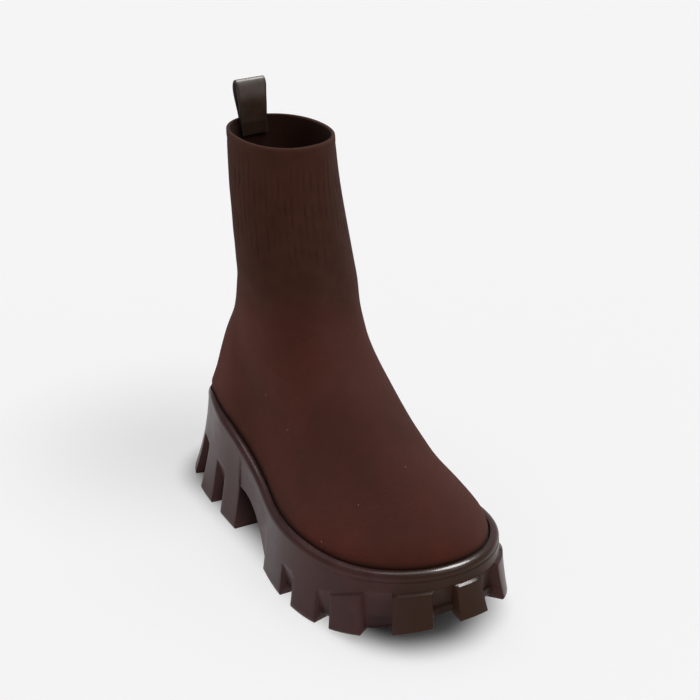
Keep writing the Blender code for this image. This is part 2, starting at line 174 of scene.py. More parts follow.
# ------------------------------------------------------------------ helpers
def world(f, u, z):
    return Vector((-(u - U_ORIGIN) * MM, (F_ORIGIN - f) * MM, z * MM))


def world_grid(p):
    """(..., 3) array of f, u, z in mm to world metres."""
    p = np.asarray(p, float)
    return np.stack([-(p[..., 1] - U_ORIGIN), F_ORIGIN - p[..., 0], p[..., 2]], -1) * MM


def smooth(t):
    t = np.clip(t, 0.0, 1.0)
    return t * t * (3 - 2 * t)


def natural_spline(x, y, xs, closed=False):
    x = np.asarray(x, float)
    y = np.asarray(y, float)
    n = len(x)
    h = np.diff(x)
    A = np.zeros((n, n))
    B = np.zeros(y.shape)
    for i in range(1, n - 1):
        A[i, i - 1], A[i, i], A[i, i + 1] = h[i - 1], 2 * (h[i - 1] + h[i]), h[i]
        B[i] = 6 * ((y[i + 1] - y[i]) / h[i] - (y[i] - y[i - 1]) / h[i - 1])
    if closed:
        A[0, 0], A[0, -1] = 1, -1
        A[-1, 0], A[-1, 1] = 2 * (h[0] + h[-1]), h[0]
        A[-1, -2] = h[-1]
        B[-1] = 6 * ((y[1] - y[0]) / h[0] - (y[-1] - y[-2]) / h[-1])
    else:
        A[0, 0] = A[-1, -1] = 1
    M = np.linalg.solve(A, B)
    k = np.clip(np.searchsorted(x, xs, side="right") - 1, 0, n - 2)
    a = (x[k + 1] - xs) / h[k]
    b = (xs - x[k]) / h[k]
    hk = h[k]
    if y.ndim > 1:
        a, b, hk = a[:, None], b[:, None], hk[:, None]
    return (a * y[k] + b * y[k + 1]
            + ((a ** 3 - a) * M[k] + (b ** 3 - b) * M[k + 1]) * hk ** 2 / 6)


def seam_slope(f):
    z = SEAM_Z_HEEL + (SEAM_Z_FORE - SEAM_Z_HEEL) * smooth((f - 55.0) / 95.0)
    return z + SEAM_Z_TOE_RISE * np.clip((f - 190.0) / 61.5, 0, 1.2) ** 2


def seam_height(f):
    return seam_slope(f) - SEAM_HEEL_DIP * smooth((30.0 - f) / 26.0)


def tread_height(f):
    return TOE_SPRING * np.clip((f - TOE_SPRING_START) / (260.0 - TOE_SPRING_START), 0, 1.3) ** 2


def arch_height(f):
    t = np.clip((f - (BREAST_F + 5.0)) / (ARCH_END_F - BREAST_F - 5.0), 0, 1)
    return ARCH_TOP_Z * (1 - t ** 2.0)


def _seam_nodes():
    med = [(r[2], r[3]) for r in SEAM]
    lat = [(r[0], r[1]) for r in SEAM]
    pts = np.array(med + lat[-2:0:-1] + [med[0]], float)
    d = np.r_[0, np.cumsum(np.linalg.norm(np.diff(pts, axis=0), axis=1))]
    return pts, d, d[len(med) - 1]


_PTS, _LEN, _TOE = _seam_nodes()


def seam_point(s):
    s = np.atleast_1d(np.asarray(s, float)) % 1.0

    def at(q):
        q = q % 1.0
        d = np.where(q < 0.5, _TOE * q * 2, _TOE + (_LEN[-1] - _TOE) * (q - 0.5) * 2)
        return natural_spline(_LEN, _PTS, d, closed=True)
    p = at(s)
    t = at(s + 1e-4) - at(s - 1e-4)
    n = np.stack([-t[:, 1], t[:, 0]], 1)
    n /= np.linalg.norm(n, axis=1)[:, None]
    centre = np.array([125.0, 0.0])
    if ((p - centre) * n).sum(1).mean() < 0:
        n = -n
    return p, n


def reach(s, f):
    tab = np.array(REACH)
    lat, med, _ = natural_spline(tab[:, 0], tab[:, 1:], np.clip(f, -3, 251.5)).T
    return np.where(s > 0.5, lat, med)


def rim_width(f):
    tab = np.array(REACH)
    return np.interp(f, tab[:, 0], tab[:, 3])


def upper_surface(around, rings):
    """Grid (rings, around, 3) of f, u, z of the knit's outside, from the seam to the collar."""
    s = np.arange(around) / around
    p, n = seam_point(s)
    fmin, fmax = -3.0, 251.5
    along = np.clip((p[:, 0] - fmin) / (fmax - fmin), 0, 1)
    first = UPPER[0]

    def half_widths(a, ball_lat, ball_med, heel_lat, heel_med):
        g = smooth((a - 0.22) / 0.45)
        return heel_lat + (ball_lat - heel_lat) * g, heel_med + (ball_med - heel_med) * g
    lat0, med0 = half_widths(along, *first[5:9])
    across = np.where(p[:, 1] > 0, p[:, 1] / lat0, p[:, 1] / med0)
    th = 2 * np.pi * s
    c, q = np.cos(th), -np.sin(th)
    oval_along = 0.5 - 0.5 * np.sign(c) * np.abs(c) ** (2 / OVAL)
    oval_across = np.sign(q) * np.abs(q) ** (2 / OVAL)
    z0, z1 = seam_slope(fmin), seam_slope(fmax)
    dip = seam_slope(p[:, 0]) - (z0 + (z1 - z0) * along)
    rows = np.array([r[1:] for r in UPPER], float)
    d = np.r_[0, np.cumsum(np.sqrt(0.5 * np.diff(rows[:, 0]) ** 2
                                   + np.diff(rows[:, 1]) ** 2 + np.diff(rows[:, 3]) ** 2))]
    t = d[-1] * (np.arange(rings) / (rings - 1.0))
    tab = natural_spline(d, rows, t)
    out = []
    for ff, zf, fb, zb, bl, bm, hl, hm, m, w in tab:
        m, w = min(max(m, 0), 1), min(max(w, 0), 1)
        a = (1 - m) * along + m * oval_along
        b = (1 - m) * across + m * oval_across
        la, me = half_widths(a, bl, bm, hl, hm)
        out.append(np.stack([fb + (ff - fb) * a,
                             np.where(b > 0, b * la, b * me),
                             zb + (zf - zb) * a + w * dip], 1))
    return np.array(out)


def grid_normals(P):
    """Outward unit normals of a grid (rings, around, 3) that closes round its second index."""
    da = np.roll(P, -1, axis=1) - np.roll(P, 1, axis=1)
    dr = np.gradient(P, axis=0)
    n = np.cross(da, dr)
    n /= np.linalg.norm(n, axis=2)[..., None] + 1e-9
    mid = P.mean(axis=1, keepdims=True)
    if ((P - mid) * n).sum() < 0:
        n = -n
    return n


def collar_inside(u, z, depth):
    rows = np.array([r[1:] for r in UPPER[-3:]], float)
    ff, fb, la, me = [np.interp(z, rows[:, 3], rows[:, k]) for k in (0, 2, 4, 5)]
    half = (ff - fb) / 2 - depth
    side = (la if u > 0 else me) - depth
    k = (1 - min(abs(u) / side, 0.999) ** OVAL) ** (1 / OVAL)
    return fb + depth + half * (1 - k)


def mesh_object(name, verts, faces, mat, uvs=None, attrs=None, sharp=None):
    """verts in world metres; uvs per vertex; attrs = {name: per-vertex floats}."""
    me = bpy.data.meshes.new(name)
    me.from_pydata([tuple(v) for v in verts], [], faces)
    me.update()
    if uvs is not None:
        layer = me.uv_layers.new(name="surface")
        idx = np.zeros(len(me.loops), np.int32)
        me.loops.foreach_get("vertex_index", idx)
        if isinstance(uvs, np.ndarray) and len(uvs) == len(me.loops):
            layer.data.foreach_set("uv", uvs.astype(np.float32).ravel())
        else:
            layer.data.foreach_set("uv", np.asarray(uvs, np.float32)[idx].ravel())
    for key, val in (attrs or {}).items():
        a = me.attributes.new(key, "FLOAT", "POINT")
        a.data.foreach_set("value", np.asarray(val, np.float32))
    ob = bpy.data.objects.new(name, me)
    bpy.context.scene.collection.objects.link(ob)
    me.materials.append(mat)
    bm = bmesh.new()
    bm.from_mesh(me)
    bmesh.ops.recalc_face_normals(bm, faces=bm.faces)
    bm.to_mesh(me)
    bm.free()
    me.shade_smooth()
    if sharp is not None:
        me.set_sharp_from_angle(angle=sharp)
    return ob


# ------------------------------------------------------------------ node helpers
class Nodes:
    """Small helper for building a node tree in reading order."""

    def __init__(self, name):
        self.mat = bpy.data.materials.new(name)
        self.mat.use_nodes = True
        self.t = self.mat.node_tree
        self.bsdf = self.t.nodes["Principled BSDF"]

    def add(self, kind, **props):
        n = self.t.nodes.new(kind)
        for k, v in props.items():
            setattr(n, k, v)
        return n

    def link(self, a, b):
        self.t.links.new(a, b)

    def put(self, socket, value):
        if isinstance(value, bpy.types.NodeSocket):
            self.link(value, socket)
        else:
            socket.default_value = value

    def math(self, op, a, b=0.0, c=0.0, clamp=False):
        n = self.add("ShaderNodeMath", operation=op, use_clamp=clamp)
        self.put(n.inputs[0], a)
        self.put(n.inputs[1], b)
        self.put(n.inputs[2], c)
        return n.outputs[0]

    def noise(self, vector, scale, detail=3.0, rough=0.55, out=0):
        n = self.add("ShaderNodeTexNoise")
        self.put(n.inputs["Vector"], vector)
        n.inputs["Scale"].default_value = scale
        n.inputs["Detail"].default_value = detail
        n.inputs["Roughness"].default_value = rough
        return n.outputs[out]

    def remap(self, value, a, b, c, d, smooth_step=False):
        n = self.add("ShaderNodeMapRange")
        if smooth_step:
            n.interpolation_type = "SMOOTHSTEP"
        self.put(n.inputs["Value"], value)
        n.inputs["From Min"].default_value = a
        n.inputs["From Max"].default_value = b
        n.inputs["To Min"].default_value = c
        n.inputs["To Max"].default_value = d
        return n.outputs[0]

    def mix(self, fac, a, b, blend="MIX"):
        n = self.add("ShaderNodeMix", data_type="RGBA", blend_type=blend)
        self.put(n.inputs[0], fac)
        for sock, v in ((n.inputs[6], a), (n.inputs[7], b)):
            if isinstance(v, bpy.types.NodeSocket):
                self.link(v, sock)
            else:
                sock.default_value = (*v, 1)
        return n.outputs[2]

    def attr(self, name):
        return self.add("ShaderNodeAttribute", attribute_name=name).outputs["Fac"]

    def bump(self, height, strength, distance, normal=None):
        n = self.add("ShaderNodeBump")
        n.inputs["Strength"].default_value = strength
        n.inputs["Distance"].default_value = distance
        self.link(height, n.inputs["Height"])
        if normal is not None:
            self.link(normal, n.inputs["Normal"])
        return n.outputs["Normal"]


# ------------------------------------------------------------------ materials
def knit_material(name, light, dark, sheen):
    """Fine plain knit: columns of small V stitches, heathered colour, fuzz; ribs are in the mesh."""
    N = Nodes(name)
    uv = N.add("ShaderNodeUVMap", uv_map="surface").outputs[0]
    sep = N.add("ShaderNodeSeparateXYZ")
    N.link(uv, sep.inputs[0])
    u, v = sep.outputs[0], sep.outputs[1]          # u, v in stitches
    obj = N.add("ShaderNodeTexCoord").outputs["Object"]
    # one stitch: two slanted legs per column
    col = N.math("FRACT", u)
    off = N.math("ABSOLUTE", N.math("SUBTRACT", col, 0.5))
    phase = N.math("ADD", v, N.math("MULTIPLY", off, 1.1))
    leg = N.math("MULTIPLY_ADD", N.math("SINE", N.math("MULTIPLY", phase, 6.28318)), 0.5, 0.5)
    wale = N.math("POWER", N.math("SINE", N.math("MULTIPLY", off, 6.28318)), 0.7)
    stitch = N.math("MULTIPLY", wale, N.math("MULTIPLY_ADD", leg, 0.45, 0.55))
    fuzz = N.noise(obj, 2600.0, 3.0, 0.65)
    cloth = N.noise(obj, 420.0, 4.0, 0.6)
    heather = N.noise(obj, 95.0, 5.0, 0.62)
    broad = N.noise(obj, 16.0, 3.0, 0.5)
    height = N.math("ADD", N.math("MULTIPLY", stitch, 0.75), N.math("MULTIPLY", fuzz, 0.45))
    nrm = N.bump(height, 0.55, 0.00028)
    nrm = N.bump(cloth, 0.35, 0.00045, nrm)
    c = N.mix(N.remap(heather, 0.32, 0.70, 0.0, 1.0), dark, light)
    # painted shade: darker in the gaps between the stitches
    c = N.mix(N.math("MULTIPLY", N.remap(stitch, 0.05, 0.8, 1.0, 0.0), 0.42), c,
              tuple(0.35 * x for x in dark))
    red = tuple(x * k for x, k in zip(light, (1.85, 1.10, 1.14)))
    zpos = N.add("ShaderNodeSeparateXYZ")
    N.link(obj, zpos.inputs[0])
    foot = N.remap(zpos.outputs[2], 0.100, 0.165, 1.0, 0.25, True)
    c = N.mix(N.math("MULTIPLY", N.remap(broad, 0.38, 0.62, 0.55, 1.0), foot), c, red)
    # painted shade: darker down the rib grooves
    rib = N.attr("rib")
    c = N.mix(N.math("MULTIPLY", rib, 0.42), c, tuple(0.38 * x for x in dark))
    # painted shade: darker in a thin band right above the seam, where the knit turns in under the rim
    c = N.mix(N.math("MULTIPLY", N.attr("seam"), 0.75), c, tuple(0.25 * x for x in dark))
    # painted highlight: paler over the rolled top edge of the collar
    edge = N.attr("edge")
    c = N.mix(N.math("MULTIPLY", edge, 0.60), c, tuple(1.7 * x for x in light))
    # painted shade: darker inside the collar
    c = N.mix(N.math("MULTIPLY", N.attr("inside"), 0.55), c, tuple(0.35 * x for x in dark))
    N.link(c, N.bsdf.inputs["Base Color"])
    N.link(N.remap(fuzz, 0.3, 0.7, 0.84, 0.97), N.bsdf.inputs["Roughness"])
    N.bsdf.inputs["Specular IOR Level"].default_value = 0.04
    N.bsdf.inputs["Sheen Weight"].default_value = sheen
    N.bsdf.inputs["Sheen Roughness"].default_value = 0.45
    N.bsdf.inputs["Sheen Tint"].default_value = (0.95, 0.72, 0.66, 1)
    N.link(nrm, N.bsdf.inputs["Normal"])
    return N.mat


def rubber_material():
    N = Nodes("boot_rubber")
    obj = N.add("ShaderNodeTexCoord").outputs["Object"]
    z = N.add("ShaderNodeSeparateXYZ")
    N.link(obj, z.inputs[0])
    skin = N.noise(obj, 950.0, 3.0, 0.55)
    flow = N.noise(obj, 55.0, 4.0, 0.55)
    broad = N.noise(obj, 12.0, 2.0, 0.5)
    scuff = N.noise(obj, 260.0, 6.0, 0.7)
    nrm = N.bump(skin, 0.10, 0.00012)
    nrm = N.bump(flow, 0.18, 0.0006, nrm)
    c = N.mix(N.remap(flow, 0.35, 0.68, 0.0, 1.0), (0.046, 0.0172, 0.0168), (0.064, 0.0235, 0.0235))
    c = N.mix(N.remap(broad, 0.40, 0.65, 0.0, 0.6), c, (0.060, 0.0215, 0.0150))
    # painted shade: darker and browner round the tip of the toe, where less light falls on the front walls
    toe = N.math("MULTIPLY", N.remap(z.outputs[1], -0.124, -0.106, 1.0, 0.0, True),
                 N.remap(N.math("ABSOLUTE", N.math("ADD", z.outputs[0], 0.003)), 0.020, 0.040, 1.0, 0.0, True))
    c = N.mix(N.math("MULTIPLY", toe, 0.85), c, (0.036, 0.0170, 0.0085))
    # painted shade: near black low in the notches, in the arch and under the sole
    cav = N.attr("cavity_shade")
    c = N.mix(N.math("MULTIPLY", cav, 0.92), c, (0.008, 0.0032, 0.0018))
    # a little dust where the lugs meet the ground
    low = N.remap(z.outputs[2], 0.0005, 0.0045, 1.0, 0.0, True)
    dust = N.math("MULTIPLY", low, N.remap(scuff, 0.45, 0.70, 0.0, 0.5))
    c = N.mix(dust, c, (0.11, 0.095, 0.085))
    N.link(c, N.bsdf.inputs["Base Color"])
    rough = N.math("ADD", N.remap(flow, 0.3, 0.7, 0.30, 0.40), N.math("MULTIPLY", dust, 0.4))
    rough = N.math("ADD", rough, N.remap(scuff, 0.55, 0.8, 0.0, 0.10))
    N.link(rough, N.bsdf.inputs["Roughness"])
    N.link(N.remap(toe, 0.0, 1.0, 0.105, 0.08), N.bsdf.inputs["Specular IOR Level"])
    N.link(N.remap(z.outputs[2], 0.036, 0.043, 0.04, 0.09, True), N.bsdf.inputs["Coat Weight"])
    N.bsdf.inputs["Coat Roughness"].default_value = 0.12
    N.link(nrm, N.bsdf.inputs["Normal"])
    return N.mat


def strap_material():
    N = Nodes("boot_strap")
    obj = N.add("ShaderNodeTexCoord").outputs["Object"]
    vor = N.add("ShaderNodeTexVoronoi", feature="DISTANCE_TO_EDGE")
    N.link(obj, vor.inputs["Vector"])
    vor.inputs["Scale"].default_value = 1500.0
    grain = N.remap(vor.outputs["Distance"], 0.0, 0.25, 0.0, 1.0)
    fine = N.noise(obj, 3200.0, 2.0, 0.5)
    broad = N.noise(obj, 120.0, 4.0, 0.55)
    height = N.math("ADD", grain, N.math("MULTIPLY", fine, 0.3))
    nrm = N.bump(height, 0.30, 0.00010)
    c = N.mix(N.remap(broad, 0.35, 0.68, 0.0, 1.0), (0.048, 0.0240, 0.0150), (0.070, 0.0370, 0.0230))
    c = N.mix(N.math("MULTIPLY", N.math("SUBTRACT", 1.0, grain), 0.35), c, (0.024, 0.017, 0.014))
    zpos = N.add("ShaderNodeSeparateXYZ")
    N.link(obj, zpos.inputs[0])
    # painted highlight: paler over the top of the fold
    fold_highlight = N.math("MULTIPLY", N.remap(zpos.outputs[2], 0.2410, 0.2485, 0.0, 0.85, True),
                  N.remap(broad, 0.25, 0.6, 0.7, 1.0))
    c = N.mix(fold_highlight, c, (0.120, 0.097, 0.084))
    # painted shade: darker, and less glossy, below the collar's rim where the strap is inside the boot
    sewn = N.remap(zpos.outputs[2], 0.2290, 0.2345, 0.80, 0.0, True)
    c = N.mix(sewn, c, (0.026, 0.0125, 0.0080))
    c = N.mix(N.math("MULTIPLY", N.attr("cut"), 0.7), c, (0.030, 0.021, 0.017))
    N.link(c, N.bsdf.inputs["Base Color"])
    N.link(N.remap(broad, 0.3, 0.7, 0.36, 0.48), N.bsdf.inputs["Roughness"])
    N.link(N.remap(sewn, 0.0, 0.8, 0.13, 0.03), N.bsdf.inputs["Specular IOR Level"])
    N.link(N.remap(sewn, 0.0, 0.8, 0.02, 0.0), N.bsdf.inputs["Coat Weight"])
    N.bsdf.inputs["Coat Roughness"].default_value = 0.26
    N.link(nrm, N.bsdf.inputs["Normal"])
    return N.mat


def thread_material(name, a, b):
    N = Nodes(name)
    obj = N.add("ShaderNodeTexCoord").outputs["Object"]
    ply = N.add("ShaderNodeTexWave", wave_type="BANDS", bands_direction="DIAGONAL")
    N.link(obj, ply.inputs["Vector"])
    ply.inputs["Scale"].default_value = 900.0
    ply.inputs["Distortion"].default_value = 1.0
    c = N.mix(ply.outputs["Fac"], a, b)
    N.link(c, N.bsdf.inputs["Base Color"])
    N.bsdf.inputs["Roughness"].default_value = 0.8
    N.bsdf.inputs["Specular IOR Level"].default_value = 0.05
    N.link(N.bump(ply.outputs["Fac"], 0.5, 0.00008), N.bsdf.inputs["Normal"])
    return N.mat


def footbed_material():
    N = Nodes("boot_footbed")
    obj = N.add("ShaderNodeTexCoord").outputs["Object"]
    warp = N.add("ShaderNodeTexWave", wave_type="BANDS", bands_direction="X")
    weft = N.add("ShaderNodeTexWave", wave_type="BANDS", bands_direction="Y")
    for w in (warp, weft):
        N.link(obj, w.inputs["Vector"])
        w.inputs["Scale"].default_value = 160.0
        w.inputs["Distortion"].default_value = 0.4
    weave = N.math("MULTIPLY", warp.outputs["Fac"], weft.outputs["Fac"])
    broad = N.noise(obj, 60.0, 4.0, 0.55)
    c = N.mix(N.remap(broad, 0.35, 0.68, 0.0, 1.0), (0.030, 0.017, 0.014), (0.046, 0.027, 0.022))
    c = N.mix(N.math("MULTIPLY", weave, 0.4), c, (0.060, 0.038, 0.031))
    N.link(c, N.bsdf.inputs["Base Color"])
    N.link(N.remap(broad, 0.3, 0.7, 0.78, 0.9), N.bsdf.inputs["Roughness"])
    N.bsdf.inputs["Sheen Weight"].default_value = 0.2
    N.link(N.bump(weave, 0.5, 0.0003), N.bsdf.inputs["Normal"])
    return N.mat


def floor_material():
    N = Nodes("studio_floor")
    obj = N.add("ShaderNodeTexCoord").outputs["Object"]
    broad = N.noise(obj, 1.2, 2.0, 0.5)
    c = N.mix(broad, (0.415, 0.415, 0.418), (0.430, 0.430, 0.432))
    N.link(c, N.bsdf.inputs["Base Color"])
    # the floor glows to stay evenly pale, except where the boot stands on it: there the glow fades out into a
    # painted contact shadow
    xyz = N.add("ShaderNodeSeparateXYZ")
    N.link(obj, xyz.inputs[0])
    x, y = xyz.outputs[0], xyz.outputs[1]
    along = N.math("MINIMUM", N.math("MAXIMUM", y, -0.088), 0.094)
    dy = N.math("SUBTRACT", y, along)
    d = N.math("SQRT", N.math("ADD", N.math("MULTIPLY", x, x), N.math("MULTIPLY", dy, dy)))
    glow = N.remap(d, 0.026, 0.056, 0.0, 0.635, True)
    # and weaker in the wide soft shadow that reaches out behind the heel
    back = N.math("ADD", N.math("POWER", N.math("SUBTRACT", x, -0.034), 2.0),
                  N.math("POWER", N.math("SUBTRACT", y, 0.160), 2.0))
    shade = N.remap(N.math("SQRT", back), 0.0, 0.150, 0.125, 0.0, True)
    glow = N.math("SUBTRACT", glow, shade, clamp=True)
    N.bsdf.inputs["Emission Color"].default_value = (1.0, 0.995, 1.0, 1)
    N.link(glow, N.bsdf.inputs["Emission Strength"])
    N.bsdf.inputs["Roughness"].default_value = 0.62
    N.bsdf.inputs["Specular IOR Level"].default_value = 0.0
    return N.mat


# ------------------------------------------------------------------ knit upper
def crease_height(P):
    """Normal displacement of every point from the listed creases."""
    h = np.zeros(P.shape[:-1])
    for name, depth, width, f0, u0, z0, f1, u1, z1 in CREASES:
        a = np.array([f0, u0, z0])
        b = np.array([f1, u1, z1])
        ab = b - a
        L = np.linalg.norm(ab)
        t = ((P - a) @ ab) / L ** 2
        near = a + np.clip(t, 0, 1)[..., None] * ab
        # the line is a chord of the curved shell, so distance is mostly measured in height and along f
        d = P - near
        dist = np.sqrt(d[..., 2] ** 2 + 0.55 * d[..., 0] ** 2 + 0.25 * d[..., 1] ** 2)
        ends = np.clip(1.25 - 1.9 * np.abs(t - 0.5) ** 1.3, 0, 1)
        r = dist / width
        h += depth * ends * (-np.exp(-(r * 1.5) ** 2) + 0.75 * np.exp(-((r - 1.25) * 1.6) ** 2))
    return h


def rib_depth_at(s, z):
    """0..1 strength of the groove pattern at s and z, uneven from rib to rib like a real knit."""
    k = np.round(s * RIBS)
    a = np.sin(k * 12.9898) * 43758.5453
    a = a - np.floor(a)
    b = np.sin(k * 78.233 + 1.7) * 24634.6345
    b = b - np.floor(b)
    low = RIB_LOW_Z + 26.0 * (a - 0.35)
    top = RIB_TOP_Z - 5.5 * b
    fade = smooth((z - low) / 20.0) * smooth((top - z) / 4.0)
    wobble = np.clip(0.45 + 0.45 * np.sin(z * (0.12 + 0.16 * b) + 6.28 * a)
                     + 0.38 * np.sin(z * 0.47 + 9.0 * b + 4.0 * a), 0.0, 1.0)
    return fade * wobble * (0.35 + 0.65 * b)


def build_knit(mat_out):
    P = upper_surface(AROUND, OUTER_RINGS)
    # the outside stops one radius short of the top, where the rim rolls over
    r = WALL / 2
    zcol = P[..., 2].copy()
    P[..., 2] -= r * smooth((zcol - 214.0) / 18.0)
    n = grid_normals(P)
    s = np.arange(AROUND) / AROUND
    S = np.broadcast_to(s, P.shape[:2])
    z = P[..., 2]
    circ = 176.0
    d = np.abs(S * RIBS - np.round(S * RIBS)) / RIBS * circ
    amount = rib_depth_at(S, z)
    groove = np.exp(-(d / (RIB_WIDTH * 0.62)) ** 2)
    rib = groove * amount
    ribbed = smooth((z - 165.0) / 30.0) * smooth((RIB_TOP_Z - z) / 4.0)
    h = -RIB_DEPTH * rib + 0.10 * ribbed * (1 - groove)
    # plain band under the collar stands a hair proud, with a drawn-in line where it ends
    band = smooth((z - (RIB_TOP_Z - 1.0)) / 3.0)
    h += 0.18 * band - 0.16 * np.exp(-((z - (RIB_TOP_Z + 0.6)) / 0.9) ** 2)
    # slight unevenness of stretched cloth
    h += 0.16 * np.sin(0.071 * P[..., 0] + 0.9) * np.sin(0.083 * z + 0.4 * np.sin(0.05 * P[..., 1])) \
        * smooth((z - 70) / 40)
    h += crease_height(P) * smooth((z - seam_height(P[..., 0]) - 6.0) / 14.0) * smooth((226 - z) / 14)
    # pulled in a touch right above the seam, then full over the rim
    up = z - seam_height(P[..., 0])
    h += -0.35 * np.exp(-(up / 2.2) ** 2) + 0.35 * np.exp(-((up - 9.0) / 6.0) ** 2)
    h[0] = 0.0
    out = P + n * h[..., None]
    # inside wall
    pick = np.linspace(0, OUTER_RINGS - 1, INNER_RINGS).round().astype(int)
    inn = (P - n * WALL)[pick]
    inn_h = -0.5 * h[pick] * 0
    inn = inn + n[pick] * inn_h[..., None]
    # rim: half a turn from outside to inside over the collar's edge
    top_o, top_i = out[-1], inn[-1]
    mid = (top_o + top_i) / 2
    half = (top_o - top_i) / 2
    rim = []
    for a in np.linspace(0, math.pi, RIM_STEPS + 2)[1:-1]:
        ring = mid + half * math.cos(a)
        ring[:, 2] += r * math.sin(a)
        rim.append(ring)
    rim = np.array(rim)
    # legs that run down inside the sole's cup
    p, _ = seam_point(s)
    zs = seam_height(p[:, 0])

    def leg(base, dz):
        q = base.copy()
        q[:, 2] = zs - dz
        return q
    low_o = [leg(out[0], MARGIN), leg(out[0], 0.66 * MARGIN), leg(out[0], 0.33 * MARGIN)]
    low_i = [leg(inn[0], 0.33 * MARGIN), leg(inn[0], 0.66 * MARGIN), leg(inn[0], MARGIN)]
    seamline = out[0].copy()
    seamline[:, 2] = zs
    grid = np.concatenate([low_o, [seamline], out[1:], rim, inn[::-1], low_i], axis=0)
    R = grid.shape[0]
    n_out = 4 + (OUTER_RINGS - 1)
    # stitch coordinates: columns about 0.95 mm wide, courses 0.8 mm high
    ring_len = np.linalg.norm(np.roll(grid, -1, axis=1) - grid, axis=2).sum(axis=1)
    step = np.linalg.norm(np.diff(grid, axis=0), axis=2).mean(axis=1)
    vlen = np.r_[0, np.cumsum(step)]
    foot_u = S[0] * 460
    shaft_u = S[0] * 200
    uvs = np.zeros((R, AROUND + 1, 2))
    share = np.array([smooth((g[:, 2].mean() - 105.0) / 6.0) for g in grid])
    s1 = np.arange(AROUND + 1) / AROUND
    count = np.where(share > 0.5, 200.0, 460.0)
    uvs[..., 0] = count[:, None] * s1[None, :]
    uvs[..., 1] = (vlen / 0.8)[:, None]
    verts = world_grid(grid.reshape(-1, 3))
    faces, luv = [], []
    idx = lambda i, j: i * AROUND + (j % AROUND)
    for i in range(R):
        k = (i + 1) % R
        if k == 0:
            vi, vk = R - 1, 0
        for j in range(AROUND):
            faces.append((idx(i, j), idx(i, j + 1), idx(k, j + 1), idx(k, j)))
            ua, ub = uvs[i, j], uvs[i, j + 1]
            kk = i if k == 0 else k
            uc, ud = uvs[kk, j + 1], uvs[kk, j]
            # keep one column count across a face, so that the stitches don't shear
            cnt = count[i]
            luv += [(cnt * s1[j], ua[1]), (cnt * s1[j + 1], ub[1]),
                    (cnt * s1[j + 1], uc[1]), (cnt * s1[j], ud[1])]
    # the rib grooves, which get painted shade in the knit's colour
    ribattr = np.zeros((R, AROUND))
    ribattr[4:n_out] = rib[1:]
    # the rows over the collar's rolled edge, which get a painted highlight
    edge = np.zeros((R, AROUND))
    edge[n_out:n_out + RIM_STEPS] = 1.0
    edge[n_out - 1] = 0.55
    # the rows inside the collar, which get painted shade
    inside = np.zeros((R, AROUND))
    inside[n_out + RIM_STEPS:] = 1.0
    # a thin band of painted shade right above the seam
    above = grid[..., 2] - seam_height(grid[..., 0])
    seam = np.exp(-(np.maximum(above, 0.0) / 1.5) ** 2)
    ob = mesh_object("knit_upper", verts, faces, mat_out, None,
                     {"rib": ribattr.ravel(), "edge": edge.ravel(), "inside": inside.ravel(),
                      "seam": seam.ravel()})
    # per-corner stitch coordinates survive only if face order did; recalc may flip corners
    me = ob.data
    layer = me.uv_layers.new(name="surface")
    li = np.zeros(len(me.loops), np.int32)
    me.loops.foreach_get("vertex_index", li)
    row, colm = li // AROUND, li % AROUND
    nf = len(me.polygons)
    fi = np.repeat(np.arange(nf), 4)
    frow, fcol = fi // AROUND, fi % AROUND
    jj = np.where((colm == 0) & (fcol == AROUND - 1), AROUND, colm)
    rr = np.where((row == 0) & (frow == R - 1), R - 1, row)
    uu = count[frow] * (jj / AROUND)
    vv = vlen[rr] / 0.8
    layer.data.foreach_set("uv", np.stack([uu, vv], 1).astype(np.float32).ravel())
    return ob, out


# ------------------------------------------------------------------ sole
def lug_stations():
    """(s, kind, place) lists for the medial and lateral side; place runs 0..1 along its lug or notch."""
    dense = np.linspace(0, 1, 8001)
    p, n = seam_point(dense)
    out = p + n * reach(dense, p[:, 0])[:, None]

    def find(side, measure, value):
        k = dense <= 0.5 if side == "medial" else dense >= 0.5
        f, u, s = out[k, 0], np.abs(out[k, 1]), dense[k]
        if measure == "f":
            order = np.argsort(f)
            return float(np.interp(value, f[order], s[order]))
        return s, f, u

    sides = {}
    for side in ("medial", "lateral"):
        edges = []
        for name, measure, la, lb, ma, mb in LUGS:
            a, b = (la, lb) if side == "lateral" else (ma, mb)
            ends = []
            for v in (a, b):
                if measure == "f":
                    ends.append(find(side, "f", v))
                else:
                    s, f, u = find(side, "u", v)
                    k = f < 60 if name.startswith("heel") else f > 225
                    s, u = s[k], u[k]
                    order = np.argsort(u)
                    ends.append(float(np.interp(v, u[order], s[order])))
            if side == "lateral" and name == "heel centre":
                ends[0] = 1.0
            if name == "heel centre" and side == "medial":
                ends[0] = 0.0
            if name == "toe centre":
                ends[1] = 0.5
            edges.append(ends)
        sign = 1 if side == "medial" else -1
        draft = 1.1 / 640.0
        st = []
        for i, (a, b) in enumerate(edges):
            for t in np.linspace(0, 1, DENSE_LUG_STEPS[i]):
                st.append((a + (b - a) * t, 1, t))
            if i == len(edges) - 1:
                break
            c = edges[i + 1][0]
            if i == 3:
                fs = np.r_[BREAST_F + 0.3, np.linspace(94.0, ARCH_END_F, ARCH_STEPS)]
                for k, f in enumerate(fs):
                    st.append((find(side, "f", f), 2, k / (len(fs) - 1)))
            else:
                a2, b2 = b + sign * draft, c - sign * draft
                for t in np.linspace(0, 1, NOTCH_STEPS):
                    st.append((a2 + (b2 - a2) * t, 0, t))
        sides[side] = st
    return sides["medial"], sides["lateral"]


